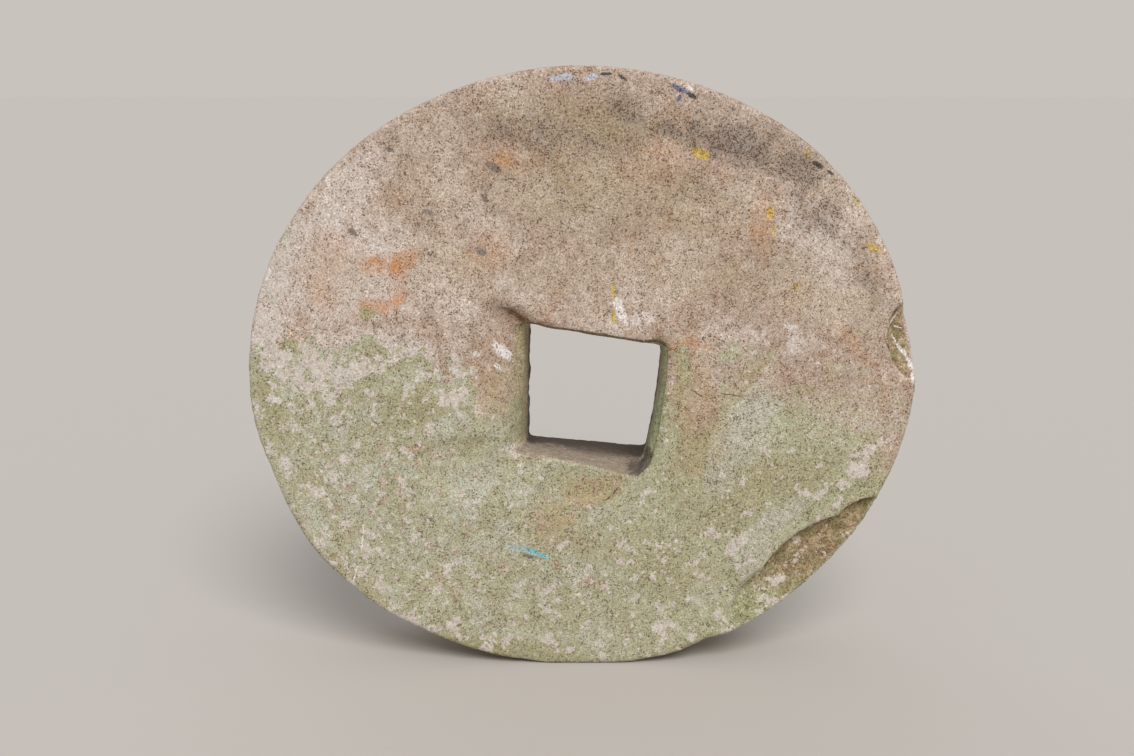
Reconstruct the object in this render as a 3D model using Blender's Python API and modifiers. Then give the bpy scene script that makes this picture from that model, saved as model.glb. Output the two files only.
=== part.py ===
"""One stone of a rotary quern, standing on the worn flat of its rim.

A flat, slightly oval sandstone disc with a squarish eye cut right through it. Its front face looks
along -Y, +X is to the right of that face and +Z is up. The origin is on the ground under the middle
of the stone. Lengths are in metres and angles in degrees, turned in the face from +X towards +Z.
"""

import math

import bmesh
import bpy
from mathutils import Euler, Vector

# The disc
STONE_WIDTH = 0.3200
STONE_HEIGHT = 0.2930
STONE_THICKNESS = 0.0570
FOOT_WIDTH = 0.0440
ARRIS_WEAR = 0.0028
ARRIS_STEPS = 3
RIM_STEPS = 120

# Where the rim strays from a true oval: angle, half the spread of the swell in degrees, height
RIM_SWELLS = (
    (-2.0, 9.0, 0.0015),
    (12.5, 4.0, -0.0012),
    (45.0, 15.0, 0.0011),
    (113.0, 18.0, -0.0005),
    (-161.5, 5.5, -0.0012),
    (-143.0, 7.0, 0.0018),
    (-129.0, 6.5, 0.0014),
    (-97.0, 5.0, -0.0006),
    (-67.0, 2.2, -0.0022),
    (-23.0, 4.0, -0.0007),
)

# The eye: a squarish hole, cut a little askew and worn open at the front left
EYE_WIDTH = 0.0640
EYE_HEIGHT = 0.0620
EYE_RIGHT_OF_MIDDLE = 0.0045
EYE_BELOW_MIDDLE = 0.0121
EYE_SQUARENESS = 26.0
EYE_STEPS = 48
EYE_CORNER_CROWDING = 0.75
# How far each corner strays from the true rectangle (to the right, up), at the front and the back
EYE_FRONT_STRAY = {
    "top right": (0.0023, -0.0040),
    "top left": (0.0003, 0.0070),
    "bottom left": (-0.0032, 0.0075),
    "bottom right": (-0.0088, -0.0062),
}
EYE_BACK_STRAY = {
    "top right": (0.0048, -0.0060),
    "top left": (0.0020, 0.0035),
    "bottom left": (0.0010, 0.0020),
    "bottom right": (-0.0029, -0.0030),
}
EYE_RIGHT_BOW = 0.0024
EYE_LEFT_WEAR = 0.0068
EYE_LEFT_WEAR_DEPTH = 0.0150
EYE_EDGE_WEAR = 0.0016
EYE_EDGE_WEAR_DEPTH = 0.0040

# Scars: each is the bed of a lens of stone that came away, sized by the half lengths of the lens
# along, into and across the face
SPALL_ANGLE = -42.0
SPALL_LENS = (0.0400, 0.0058, 0.0245)
SPALL_LEAN = 38.0
SPALL_UPPER_ANGLE = -29.0
SPALL_UPPER_LENS = (0.0170, 0.0040, 0.0115)
SPALL_UPPER_LEAN = 22.0
SPALL_LOWER_ANGLE = -53.0
SPALL_LOWER_LENS = (0.0250, 0.0036, 0.0225)
SPALL_LOWER_LEAN = 45.0
EDGE_CHIP_ANGLE = 7.0
EDGE_CHIP_LENS = (0.0130, 0.0075, 0.0200)
EDGE_CHIP_LEAN = 14.0

SCAR_BELOW_EYE_LENS = (0.0240, 0.0065, 0.0180)
SCAR_BELOW_EYE_RIGHT = 0.0035
SCAR_BELOW_EYE_DROP = 0.0070
SCAR_BELOW_EYE_PROUD = 0.0030
DISH_LENS = (0.0400, 0.0050, 0.0220)
DISH_LEFT = 0.0220
DISH_DROP = 0.0085
DISH_PROUD = 0.0030
CORNER_NICK_LENS = (0.0092, 0.0028, 0.0028)
CORNER_NICK_LEAN = -34.0
CORNER_NICK_LEFT = 0.0055
CORNER_NICK_UP = 0.0032

# The back has one plain edge chip
BACK_CHIP_ANGLE = 118.0
BACK_CHIP_LENS = (0.0240, 0.0050, 0.0110)
BACK_CHIP_LEAN = 28.0

FRONT = -STONE_THICKNESS / 2
BACK = STONE_THICKNESS / 2
LENS_SEGMENTS = 28
LENS_RINGS = 14
# How far a cutter runs clear of the face that it cuts
CLEAR = 0.0040

STONE_COLOUR = (0.42, 0.36, 0.24, 1.0)
STONE_ROUGHNESS = 0.92


def clear_scene():
    for obj in list(bpy.data.objects):
        bpy.data.objects.remove(obj)


def new_collection(name):
    collection = bpy.data.collections.new(name)
    bpy.context.scene.collection.children.link(collection)
    return collection


def sandstone():
    material = bpy.data.materials.new("sandstone")
    material.use_nodes = True
    shader = material.node_tree.nodes["Principled BSDF"]
    shader.inputs["Base Color"].default_value = STONE_COLOUR
    shader.inputs["Roughness"].default_value = STONE_ROUGHNESS
    shader.inputs["Metallic"].default_value = 0.0
    return material


def oval():
    """Half width, half height and height of the middle of the oval whose foot is the flat."""
    half_width = STONE_WIDTH / 2
    foot_share = math.sqrt(1 - (FOOT_WIDTH / 2 / half_width) ** 2)
    half_height = STONE_HEIGHT / (1 + foot_share)
    return half_width, half_height, half_height * foot_share


def rim_point(angle):
    """(x, z) of the rim at this angle, never lower than the ground that the foot stands on."""
    half_width, half_height, middle = oval()
    swell = 0.0
    for at, spread, height in RIM_SWELLS:
        away = (angle - at + 180.0) % 360.0 - 180.0
        swell += height * math.exp(-((away / spread) ** 2))
    turn = math.radians(angle)
    x = (half_width + swell) * math.cos(turn)
    z = middle + (half_height + swell) * math.sin(turn)
    return x, max(z, 0.0)


def rim_outline():
    """The rim's points, moved sideways so that the stone's box is centred on the origin."""
    points = [rim_point(360.0 * step / RIM_STEPS) for step in range(RIM_STEPS)]
    shift = (min(x for x, _ in points) + max(x for x, _ in points)) / 2
    return [(x - shift, z) for x, z in points]


def blank_disc(collection, material):
    """The disc before its eye and its scars, with worn arrises on both faces."""
    curve = bpy.data.curves.new("stone_outline", "CURVE")
    curve.dimensions = "2D"
    curve.fill_mode = "BOTH"
    curve.extrude = STONE_THICKNESS / 2
    points = rim_outline()
    spline = curve.splines.new("POLY")
    spline.points.add(len(points) - 1)
    for point, (x, z) in zip(spline.points, points):
        point.co = (x, z, 0.0, 1.0)
    spline.use_cyclic_u = True
    outline = bpy.data.objects.new("stone_outline", curve)
    outline.rotation_euler = (math.radians(90.0), 0.0, 0.0)
    collection.objects.link(outline)
    bpy.context.view_layer.update()

    graph = bpy.context.evaluated_depsgraph_get()
    mesh = bpy.data.meshes.new_from_object(outline.evaluated_get(graph))
    faces = bmesh.new()
    faces.from_mesh(mesh)
    bmesh.ops.remove_doubles(faces, verts=faces.verts, dist=1e-6)
    bmesh.ops.dissolve_limit(
        faces, angle_limit=math.radians(0.2), verts=faces.verts, edges=faces.edges
    )
    bmesh.ops.recalc_face_normals(faces, faces=faces.faces)
    faces.to_mesh(mesh)
    faces.free()
    mesh.materials.clear()
    mesh.materials.append(material)
    stone = bpy.data.objects.new("quern_stone", mesh)
    stone.matrix_world = outline.matrix_world.copy()
    collection.objects.link(stone)
    bpy.data.objects.remove(outline)

    bevel = stone.modifiers.new("worn_arris", "BEVEL")
    bevel.width = ARRIS_WEAR
    bevel.segments = ARRIS_STEPS
    bevel.limit_method = "ANGLE"
    bevel.angle_limit = math.radians(40.0)
    return stone


def eye_middle():
    _, _, middle = oval()
    return EYE_RIGHT_OF_MIDDLE, middle - EYE_BELOW_MIDDLE


def eye_corner(corner, back_share):
    """(x, z) of one corner of the eye, from the front face (share 0) to the back face (share 1)."""
    x, z = eye_middle()
    x += EYE_WIDTH / 2 if "right" in corner else -EYE_WIDTH / 2
    z += EYE_HEIGHT / 2 if "top" in corner else -EYE_HEIGHT / 2
    front_x, front_z = EYE_FRONT_STRAY[corner]
    back_x, back_z = EYE_BACK_STRAY[corner]
    x += front_x + (back_x - front_x) * back_share
    z += front_z + (back_z - front_z) * back_share
    return x, z


def eye_wear(depth, wear, wear_depth):
    """How far a worn edge has opened at this depth behind its face."""
    return wear * max(0.0, 1.0 - depth / wear_depth) ** 2


def eye_section(depth):
    """The eye's outline at this depth behind the front face, as (x, z) points."""
    share = depth / STONE_THICKNESS
    corners = {name: eye_corner(name, share) for name in EYE_FRONT_STRAY}
    left_wear = eye_wear(depth, EYE_LEFT_WEAR, EYE_LEFT_WEAR_DEPTH)
    front_wear = eye_wear(depth, EYE_EDGE_WEAR, EYE_EDGE_WEAR_DEPTH)
    back_wear = eye_wear(STONE_THICKNESS - depth, EYE_EDGE_WEAR, EYE_EDGE_WEAR_DEPTH)
    edge_wear = front_wear + back_wear
    points = []
    for step in range(EYE_STEPS):
        even_turn = 2 * math.pi * (step + 0.5) / EYE_STEPS
        turn = even_turn + EYE_CORNER_CROWDING / 4 * math.sin(4 * even_turn)
        across, up = math.cos(turn), math.sin(turn)
        reach = (abs(across) ** EYE_SQUARENESS + abs(up) ** EYE_SQUARENESS) ** (
            -1 / EYE_SQUARENESS
        )
        across, up = across * reach, up * reach
        x = z = 0.0
        for name, (corner_x, corner_z) in corners.items():
            share_x = (1 + across) / 2 if "right" in name else (1 - across) / 2
            share_z = (1 + up) / 2 if "top" in name else (1 - up) / 2
            x += corner_x * share_x * share_z
            z += corner_z * share_x * share_z
        x += EYE_RIGHT_BOW * max(across, 0.0) * (1 - up * up) * (1 - share / 2)
        x += edge_wear * across - left_wear * max(-across, 0.0) ** 3
        z += edge_wear * up
        points.append((x, z))
    return points


def eye_cutter(collection):
    """A loft through the eye's sections, from clear of the front face to clear of the back face."""
    worn = EYE_LEFT_WEAR_DEPTH
    edge = EYE_EDGE_WEAR_DEPTH
    depths = [-CLEAR / 2, edge / 3, edge, worn / 2, worn * 0.8, worn * 1.2]
    depths += [STONE_THICKNESS / 2, STONE_THICKNESS - edge]
    depths += [STONE_THICKNESS - edge / 3, STONE_THICKNESS + CLEAR / 2]
    shape = bmesh.new()
    rings = []
    for depth in sorted(depths):
        ring = [shape.verts.new((x, FRONT + depth, z)) for x, z in eye_section(depth)]
        rings.append(ring)
    for near, far in zip(rings, rings[1:]):
        for step in range(EYE_STEPS):
            after = (step + 1) % EYE_STEPS
            shape.faces.new((near[step], near[after], far[after], far[step]))
    shape.faces.new(rings[0])
    shape.faces.new(rings[-1])
    bmesh.ops.recalc_face_normals(shape, faces=shape.faces)
    return cutter_object("eye_cutter", shape, collection)


def cutter_object(name, shape, collection):
    mesh = bpy.data.meshes.new(name)
    shape.to_mesh(mesh)
    shape.free()
    cutter = bpy.data.objects.new(name, mesh)
    cutter.hide_render = True
    cutter.display_type = "WIRE"
    collection.objects.link(cutter)
    return cutter


def lens_cutter(name, middle, lens, lean, collection):
    """A lens about this point, whose bed in the stone is the scar; lean turns it in the face."""
    shape = bmesh.new()
    bmesh.ops.create_uvsphere(
        shape, u_segments=LENS_SEGMENTS, v_segments=LENS_RINGS, radius=1.0
    )
    bmesh.ops.scale(shape, vec=Vector(lens), verts=shape.verts)
    turn = Euler((0.0, -math.radians(lean), 0.0)).to_matrix()
    bmesh.ops.rotate(shape, cent=(0.0, 0.0, 0.0), matrix=turn, verts=shape.verts)
    bmesh.ops.translate(shape, vec=Vector(middle), verts=shape.verts)
    return cutter_object(name, shape, collection)


def rim_scars(collection):
    """The spall at the lower right in its three flakes, and the chips along the rim."""
    scars = (
        ("spall_cutter", SPALL_ANGLE, SPALL_LENS, SPALL_LEAN, FRONT),
        ("spall_upper_cutter", SPALL_UPPER_ANGLE, SPALL_UPPER_LENS, SPALL_UPPER_LEAN, FRONT),
        ("spall_lower_cutter", SPALL_LOWER_ANGLE, SPALL_LOWER_LENS, SPALL_LOWER_LEAN, FRONT),
        ("edge_chip_cutter", EDGE_CHIP_ANGLE, EDGE_CHIP_LENS, EDGE_CHIP_LEAN, FRONT),
        ("back_chip_cutter", BACK_CHIP_ANGLE, BACK_CHIP_LENS, BACK_CHIP_LEAN, BACK),
    )
    for name, angle, lens, lean, face in scars:
        x, z = rim_point(angle)
        yield lens_cutter(name, (x, face, z), lens, lean, collection)


def face_scars(collection):
    """The scar below the eye, the dish to its left and the nick at its top left corner."""
    left, floor = eye_corner("bottom left", 0.0)
    right, lower_floor = eye_corner("bottom right", 0.0)
    scar_x = (left + right) / 2 + SCAR_BELOW_EYE_RIGHT
    scar_z = (floor + lower_floor) / 2 - SCAR_BELOW_EYE_DROP
    scar = (scar_x, FRONT - SCAR_BELOW_EYE_PROUD, scar_z)
    yield lens_cutter("scar_cutter", scar, SCAR_BELOW_EYE_LENS, 0.0, collection)
    dish = (left - DISH_LEFT, FRONT - DISH_PROUD, floor - DISH_DROP)
    yield lens_cutter("dish_cutter", dish, DISH_LENS, 0.0, collection)
    nick_x, nick_z = eye_corner("top left", 0.0)
    nick = (nick_x - CORNER_NICK_LEFT, FRONT, nick_z + CORNER_NICK_UP)
    yield lens_cutter("nick_cutter", nick, CORNER_NICK_LENS, CORNER_NICK_LEAN, collection)


def cut(stone, cutter):
    boolean = stone.modifiers.new(cutter.name, "BOOLEAN")
    boolean.operation = "DIFFERENCE"
    boolean.solver = "EXACT"
    boolean.object = cutter


def main():
    clear_scene()
    parts = new_collection("rotary_quern")
    cutters = new_collection("cutters")
    stone = blank_disc(parts, sandstone())
    cut(stone, eye_cutter(cutters))
    for cutter in face_scars(cutters):
        cut(stone, cutter)
    for cutter in rim_scars(cutters):
        cut(stone, cutter)
    stone.data.shade_smooth()
    stone.data.set_sharp_from_angle(angle=math.radians(30.0))


main()
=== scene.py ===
"""The looks of one stone of a rotary quern, standing on the worn flat of its rim.

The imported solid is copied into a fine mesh, which gets the relief of weathered sandstone, and into
named coats: where algae, lichen, soot, iron stains and the rest lie on it. One material reads those
coats. The front face looks along -Y. Places on that face are in millimetres: to the right of the
stone's middle, and up from the ground that it stands on. So are the sizes of all that lies on it. The
camera, the mesh and the floor are in metres.
"""

import math

import bpy
import numpy as np
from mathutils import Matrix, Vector, noise
from mathutils.bvhtree import BVHTree


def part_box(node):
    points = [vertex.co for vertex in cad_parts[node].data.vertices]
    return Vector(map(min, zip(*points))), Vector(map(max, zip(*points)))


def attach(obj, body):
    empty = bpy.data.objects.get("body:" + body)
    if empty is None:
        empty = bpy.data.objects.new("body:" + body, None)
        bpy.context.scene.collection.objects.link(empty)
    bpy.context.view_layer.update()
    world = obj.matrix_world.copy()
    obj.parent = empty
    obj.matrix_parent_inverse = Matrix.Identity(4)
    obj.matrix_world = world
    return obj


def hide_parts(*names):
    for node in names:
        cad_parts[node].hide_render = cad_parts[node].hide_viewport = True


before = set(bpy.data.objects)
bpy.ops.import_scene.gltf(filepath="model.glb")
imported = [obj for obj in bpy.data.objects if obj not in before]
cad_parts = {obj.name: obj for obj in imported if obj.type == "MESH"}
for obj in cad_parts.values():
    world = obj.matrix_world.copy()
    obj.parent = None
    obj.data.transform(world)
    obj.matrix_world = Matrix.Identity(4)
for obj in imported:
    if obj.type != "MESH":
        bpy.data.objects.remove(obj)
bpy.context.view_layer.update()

NODE = "quern_stone"
BODY = "root"
MM = 0.001

# The camera: as far from the front face, as high and as tilted as the photograph shows
PHOTO_WIDTH_PX = 1134
FOCAL_LENGTH_PX = 1418.0
SENSOR_WIDTH_MM = 36.0
CAMERA_PITCH = 11.48
CAMERA_FROM_FACE = 0.667
CAMERA_HEIGHT = 0.2816
CAMERA_RIGHT = -0.0073

# The step of the fine mesh, and how many times the rim is measured round the stone
MESH_STEP = 0.00155
RIM_READINGS = 720

# The eye: the middle and half the sides of a window round it, and its left and right front edges
EYE_MIDDLE = (4.5, 133.7)
EYE_HALF = (37.0, 38.2)
EYE_LEFT_EDGE = ((-25, 169), (-26, 150), (-27, 130), (-27, 106))
EYE_RIGHT_EDGE = ((36.0, 160), (34.5, 146), (33.5, 130), (32.5, 118), (31.0, 105))

# How deep the eye's front edges are worn, and how wide
EYE_WEAR = ((EYE_RIGHT_EDGE, 3.2, 8.5), (EYE_LEFT_EDGE, 1.6, 11.0))

# Nearer to the eye's middle than the first distance a hollow is worn, and beyond the second it is
# a rough break
NO_BREAK_WITHIN = (70, 85)

# Edges where a thin skin of stone came away from the front face
MINT_FLAKE = ((84, 146), (77, 137), (69, 129), (63, 121), (61, 112), (60, 103))
LEFT_FLAKE = ((-84, 106), (-74, 111), (-62, 115), (-47, 116), (-33, 114))
FLAKE_ABOVE_SPALL = ((64, 92), (80, 94), (98, 90), (112, 86))
SCAR_EDGE = ((-18, 89), (-9, 83), (4, 81), (12, 84), (18, 90), (19, 96))
CRACK_BY_EYE = ((52, 141), (56, 138), (59, 136))
CRACK_AT_PALE_PATCH = ((64, 138), (70, 137), (77, 137))

# How far the stone on the right of each edge, seen along it, lies lower, and how far from the edge
# that fades out
FLAKE_STEPS = (
    (MINT_FLAKE, 0.75, 18.0),
    (LEFT_FLAKE, 0.45, 14.0),
    (FLAKE_ABOVE_SPALL, 0.30, 12.0),
    (SCAR_EDGE, 0.75, 10.0),
    (CRACK_BY_EYE, 0.5, 3.0),
    (CRACK_AT_PALE_PATCH, 0.5, 3.0),
)

# The sharp edge of the face above the large spall
SPALL_ARRIS = (
    (141, 84), (134.8, 85.8), (130, 82.8), (119.5, 78.7), (115.7, 74.6), (108, 71), (98.8, 66.4),
    (95, 62.3), (89.2, 56.7), (85.4, 51.5), (80.6, 45.8), (78.3, 40.6), (78.4, 35.9), (69.2, 24.9),
)

# The dusty pocket with cobwebs and painted shade, at the right end of the eye's floor
POCKET = (28.5, 103.5)
POCKET_SIZE = 9.0

# Where the green begins: across the face, the height that it reaches, and how gradually it fades
ALGAE_LINE = (
    (-160, 168, 12), (-130, 166, 12), (-100, 165, 14), (-60, 163, 18), (-38, 156, 26),
    (0, 118, 26), (36, 162, 30), (60, 168, 50), (85, 170, 56), (110, 166, 58),
    (135, 160, 58), (160, 150, 56),
)

# A soft spot is full up to the first share of its half length and width, and ends at the second
SPOT_CORE = 0.25
SPOT_END = 1.45

# Soft spots: right, up, half length, half width, tilt, strength
LESS_GREEN = (
    (-95, 92, 38, 26, 10, 0.30),
    (-60, 62, 30, 20, 0, 0.25),
    (-18, 78, 12, 12, 0, 0.50),
    (54, 136, 11, 24, 0, 0.90),
    (-31, 109, 7, 5, 0, 1.00),
    (52, 108, 10, 12, 0, 0.30),
    (-42, 142, 9, 17, 0, 1.00),
    (-64, 148, 12, 10, 0, 0.50),
    (118, 122, 30, 8, 10, 0.25),
    (148, 108, 10, 14, 0, 0.70),
    (0, 50, 30, 16, -20, 0.25),
    (24, 28, 20, 12, 0, 0.20),
    (-60, 36, 14, 8, 0, 0.35),
)
MORE_GREEN = (
    (-54, 101, 18, 9, 0, 0.90),
    (-70, 98, 16, 8, 0, 0.60),
    (76, 118, 13, 24, 0, 0.80),
    (112, 138, 26, 8, -8, 0.60),
    (100, 112, 30, 16, 0, 0.60),
    (-30, 140, 4, 22, 0, 0.60),
    (-33, 125, 5, 10, 0, 0.50),
    (-92, 156, 26, 9, 0, 0.75),
    (-140, 160, 10, 7, 0, 0.7),
    (-104, 162, 8, 5, 20, 0.8),
    (-80, 140, 22, 12, 0, 0.6),
    (-152, 128, 8, 22, 10, 0.8),
    (-141, 215, 4, 12, 62, 0.7),
    (-154, 186, 3, 14, 80, 0.6),
    (-101, 176, 7, 4, 0, 1.0),
    (-58, 176, 14, 8, 30, 0.35),
    (84, 156, 14, 10, 0, 0.65),
    (70, 158, 9, 8, 0, 0.75),
    (124, 152, 20, 8, -8, 0.55),
    (48, 150, 5, 20, 4, 0.9),
    (30, 12, 70, 9, 0, 0.7),
    (-60, 20, 60, 10, -32, 0.7),
    (84, 84, 26, 12, 20, 0.6),
    (60, 50, 30, 14, 20, 0.55),
    (-24, 92, 26, 8, 0, 0.6),
)
MINT = (
    (-48, 100, 18, 7, 0, 0.50),
    (-120, 92, 26, 20, -60, 0.50),
    (-128, 70, 22, 9, -60, 0.70),
    (-95, 60, 26, 16, -50, 0.35),
    (-55, 90, 14, 14, 0, 0.75),
    (-40, 70, 20, 12, 0, 0.40),
    (72, 118, 9, 24, 12, 1.00),
    (82, 112, 12, 16, 0, 0.60),
    (96, 74, 30, 7, 38, 0.90),
    (84, 58, 10, 20, -35, 0.70),
    (8, 103, 26, 4, 0, 0.90),
    (60, 38, 16, 16, 0, 0.50),
    (20, 14, 44, 8, 0, 0.40),
    (-62, 148, 8, 8, 0, 0.60),
    (-70, 30, 20, 10, -30, 0.40),
)
OLIVE = (
    (-92, 156, 28, 9, 0, 0.80),
    (-142, 163, 12, 8, 0, 0.80),
    (-150, 128, 9, 24, 10, 0.80),
    (-110, 140, 26, 12, 20, 0.60),
    (-80, 132, 28, 12, 0, 0.60),
    (118, 141, 22, 7, -8, 0.80),
    (44, 152, 4, 20, 0, 1.00),
    (50, 108, 8, 18, 0, 0.70),
    (104, 32, 26, 8, 42, 0.90),
    (60, 8, 44, 7, 20, 0.60),
    (-34, 7, 60, 8, -8, 0.70),
    (-110, 22, 34, 7, -42, 0.60),
    (64, 78, 30, 18, 0, 0.60),
    (100, 100, 44, 24, 20, 0.55),
    (50, 48, 40, 20, 10, 0.50),
    (0, 26, 50, 12, 0, 0.40),
    (116, 46, 24, 10, 42, 0.60),
    (-101, 177, 8, 5, 0, 1.00),
    (2, 90, 20, 8, 0, 0.60),
)
PALE_LICHEN = (
    (-147, 196, 9, 22, -18, 0.80),
    (-150, 166, 9, 16, -5, 1.00),
    (-138, 152, 20, 9, 15, 1.00),
    (-118, 147, 26, 10, 18, 0.90),
    (-84, 152, 30, 8, 0, 0.60),
    (-70, 150, 26, 10, -5, 0.55),
    (-62, 135, 8, 7, 0, 0.8),
    (-92, 150, 12, 6, 20, 0.6),
    (-112, 116, 22, 8, 20, 0.45),
    (-128, 84, 14, 22, 25, 0.5),
    (-110, 52, 16, 16, 40, 0.5),
    (-76, 22, 20, 9, -20, 0.55),
    (-40, 12, 16, 7, 0, 0.65),
    (-12, 8, 14, 6, 0, 0.60),
    (12, 14, 10, 7, 0, 0.45),
    (42, 20, 22, 10, 12, 0.55),
    (-16, 34, 18, 12, 0, 0.45),
    (72, 28, 12, 8, 40, 0.50),
    (10, 60, 26, 10, 0, 0.30),
    (77, 65, 7, 7, 0, 1.00),
    (62, 68, 6, 5, 0, 0.80),
    (132, 106, 7, 13, -20, 0.90),
    (127, 92, 8, 5, 0, 0.70),
    (112, 103, 5, 4, 0, 0.60),
    (114, 90, 8, 4, 0, 0.85),
    (142, 116, 5, 12, -20, 0.55),
    (70, 92, 6, 6, 0, 0.50),
    (97, 92, 10, 6, 0, 0.5),
    (98, 158, 10, 6, -40, 0.35),
    (-50, 70, 22, 12, 0, 0.3),
    (104, 52, 7, 4, 30, 0.30),
    (97, 40, 9, 6, 40, 0.65),
    (88, 36, 5, 4, 40, 0.70),
    (126, 64, 8, 4, 40, 0.40),
)
LESS_LICHEN = (
    (4, 88, 19, 8, 0, 1.00),
    (-40, 138, 11, 26, 0, 0.80),
    (56, 126, 13, 34, 0, 0.90),
    (-52, 108, 22, 8, 0, 0.80),
    (-16, 76, 12, 12, 0, 0.60),
    (10, 102, 36, 4, 0, 0.70),
    (76, 118, 10, 20, 0, 0.40),
    (100, 130, 34, 14, 0, 0.60),
)
# Stone that has gone a pale lilac grey
BLEACHED = (
    (-112, 232, 38, 14, 47, 0.70),
    (-144, 192, 17, 40, -18, 1.00),
    (-112, 196, 44, 38, -10, 0.75),
    (-66, 176, 34, 18, 0, 0.40),
    (-108, 152, 46, 22, 10, 0.85),
    (-34, 216, 14, 26, 20, 0.35),
    (-16, 270, 26, 10, 0, 0.40),
    (-32, 190, 18, 16, 0, 0.45),
    (-31, 109, 8, 5, 10, 1.00),
    (28, 176, 9, 6, 30, 0.8),
    (70, 168, 14, 8, 0, 0.5),
    (101, 165, 11, 5, -58, 0.80),
    (84, 168, 10, 10, 0, 0.45),
    (112, 208, 32, 16, -40, 0.65),
    (124, 156, 22, 8, -30, 0.45),
    (40, 232, 26, 12, 10, 0.30),
    (120, 176, 18, 12, -40, 0.40),
    (52, 136, 6, 14, 0, 0.45),
    (88, 120, 20, 18, 0, 0.65),
    (156, 160, 7, 18, 0, 1.0),
    (146, 148, 14, 8, 0, 0.4),
)
SOOT = (
    (22, 271, 24, 10, -8, 0.70),
    (46, 264, 30, 12, -12, 0.80),
    (74, 257, 28, 13, -25, 1.00),
    (100, 244, 24, 11, -30, 0.90),
    (112, 222, 30, 13, -42, 0.75),
    (136, 198, 18, 9, -60, 0.65),
    (-30, 262, 34, 12, 5, 0.70),
    (0, 254, 40, 14, 0, 0.55),
    (24, 248, 26, 10, -10, 0.45),
    (-60, 262, 40, 8, 22, 0.40),
    (-78, 220, 30, 14, 20, 0.10),
    (-44, 238, 8, 5, 30, 0.65),
    (-38, 243, 5, 3, 30, 0.8),
    (-84, 242, 26, 5, 35, 0.25),
    (-48, 207, 12, 5, 40, 0.45),
    (-108, 216, 6, 4, 40, 0.6),
    (0, 282, 20, 3, 0, 0.5),
    (130, 238, 12, 5, -50, 0.55),
    (-64, 178, 12, 7, 30, 0.25),
)
IRON = (
    (-98, 202, 9, 4.5, 5, 0.85),
    (-87, 201, 8, 6, 60, 1.00),
    (-80, 204, 6, 5, 0, 0.75),
    (-88, 187, 7, 5, 60, 1.00),
    (-97, 180, 12, 6, 25, 0.70),
    (-36, 247, 8, 5, 20, 0.55),
    (-123, 190, 7, 14, 20, 0.40),
    (-118, 207, 10, 14, 40, 0.30),
    (-43, 206, 12, 10, 0, 0.40),
    (-146, 222, 5, 3, 30, 0.50),
    (36, 250, 20, 10, 0, 0.28),
    (86, 222, 6, 16, 0, 0.45),
    (130, 164, 18, 3.5, -46, 0.32),
    (48, 161.5, 13, 2.2, -5, 0.85),
    (50, 148, 8, 8, 0, 0.25),
    (53, 138, 10, 20, 0, 0.20),
    (57, 146, 6, 4, 0, 0.25),
    (66, 118, 6, 12, -20, 0.30),
    (-12, 70, 9, 8, 30, 0.50),
    (24, 30, 12, 8, 20, 0.12),
)
OCHRE = (
    (-40, 138, 9, 19, 0, 0.85),
    (-62, 114, 20, 2.5, 8, 0.45),
    (-30, 104, 12, 3, 0, 0.35),
    (-16, 74, 13, 14, 0, 1.00),
    (3, 88, 15, 6, 0, 1.00),
    (-14, 64, 14, 8, 0, 0.65),
    (56, 128, 13, 30, 0, 0.75),
    (52, 104, 10, 14, 0, 0.60),
    (30, 60, 14, 10, -20, 0.30),
    (50, 228, 34, 18, -10, 0.60),
    (0, 236, 40, 24, 0, 0.75),
    (60, 196, 40, 12, -6, 0.45),
    (-14, 196, 30, 10, 0, 0.40),
    (-78, 232, 22, 12, 30, 0.25),
    (-60, 200, 26, 12, 0, 0.35),
    (112, 190, 36, 18, -30, 0.45),
    (130, 134, 28, 12, 0, 0.30),
    (142, 108, 8, 18, 20, 0.60),
    (-132, 92, 12, 6, -30, 0.45),
    (-140, 74, 6, 22, 30, 0.45),
    (-112, 44, 22, 6, -45, 0.55),
    (-70, 46, 10, 6, 30, 0.40),
    (134, 80, 10, 6, 40, 0.55),
    (8, 266, 50, 12, -5, 0.70),
    (100, 246, 24, 8, -30, 0.40),
    (-118, 196, 22, 14, 0, 0.30),
)
YELLOW_LICHEN = (
    (55, 252.5, 5.5, 2.8, -18, 1.0),
    (104, 253, 1.6, 4.5, 0, 0.7),
    (88, 225, 2.2, 4.0, 0, 0.85),
    (90, 217, 1.8, 5.0, 0, 0.55),
    (129, 231, 3.0, 4.0, 30, 0.6),
    (137, 209, 5.5, 2.4, -30, 0.75),
    (101, 190, 3.0, 2.0, 0, 0.6),
    (14.6, 188, 1.1, 4.5, 8, 1.0),
    (15.2, 177, 1.2, 6.0, -3, 0.95),
)
BROWN_DIRT = (
    (18, 260, 18, 9, 0, 0.50),
    (-12, 242, 14, 9, 0, 0.35),
    (2, 266, 48, 12, 0, 0.50),
    (0, 224, 32, 14, 0, 0.24),
    (5, 90, 13, 6, 0, 0.30),
    (-14, 70, 11, 9, 0, 0.18),
    (50, 240, 20, 8, -20, 0.30),
    (92, 206, 18, 10, 0, 0.12),
    (70, 150, 12, 6, -20, 0.22),
    (140, 190, 12, 6, -60, 0.45),
    (100, 257, 26, 5, -28, 0.35),
    (-6, 52, 26, 10, 0, 0.15),
    (20, 34, 20, 14, 0, 0.15),
)
# The dirt in the crease that runs up from the eye's top left corner
CREASE_DIRT = (
    (-27, 173.0, 7, 4.2, -36, 1.00),
    (-31, 176, 9, 5.5, -36, 1.00),
    (-38, 179, 10, 6.0, -30, 0.60),
    (-19, 172.5, 9, 2.4, -8, 0.85),
)

# A stroke is full up to the first share of its half length and width, and ends at the second. On
# the rim it fades out between these two places along Y.
STROKE_CORE = 0.1
STROKE_END = 1.5
STROKE_WHOLE_Y = -20
STROKE_GONE_Y = -10
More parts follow.
